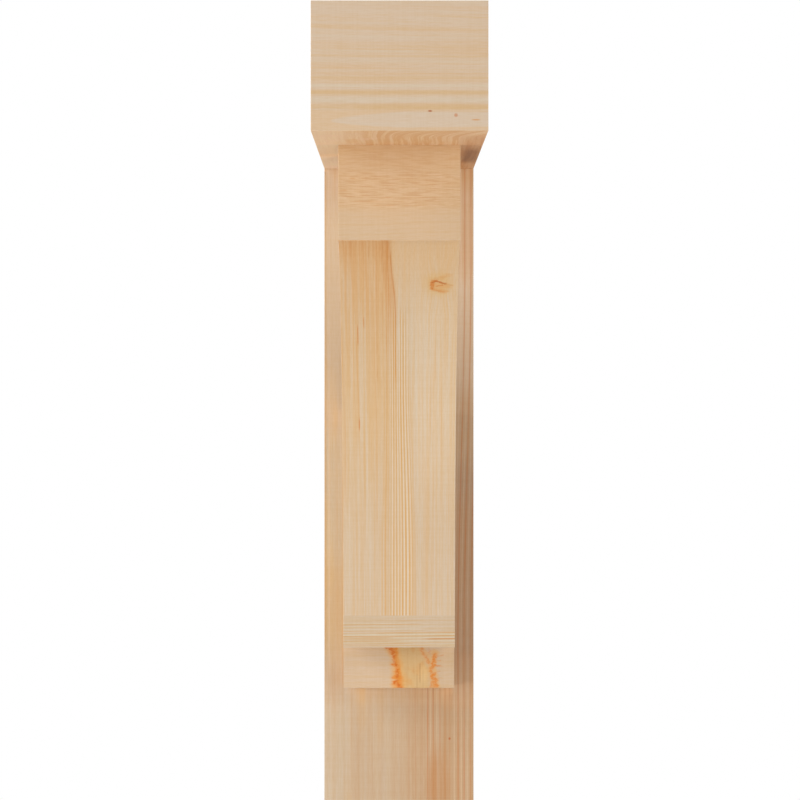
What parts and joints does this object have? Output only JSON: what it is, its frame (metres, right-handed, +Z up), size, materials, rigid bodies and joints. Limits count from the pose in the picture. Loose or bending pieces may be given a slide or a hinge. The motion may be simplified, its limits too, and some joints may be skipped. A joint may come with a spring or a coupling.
{
  "type": "block bracket",
  "caption": "Timber wall bracket: a square-ended beam over a post, an arched brace across the corner and a small block under the brace's foot.",
  "frame": {"origin": "middle of the bracket's back face, where it lies on the wall", "axes": "+Y into the wall, so the bracket reaches out towards -Y; +Z up; +X to the right seen from the front"},
  "size_m": [0.1906, 0.963, 0.947],
  "materials": {
    "beam_fir": "planed bare softwood, matt",
    "post_fir": "planed bare softwood, matt",
    "brace_fir": "planed bare softwood, matt",
    "block_fir": "planed bare softwood, matt, with a knot"
  },
  "bodies": {
    "root": {"top_beam": "beam_fir", "wall_post": "post_fir", "arched_brace": "brace_fir", "foot_block": "block_fir"}
  },
  "joints": []
}
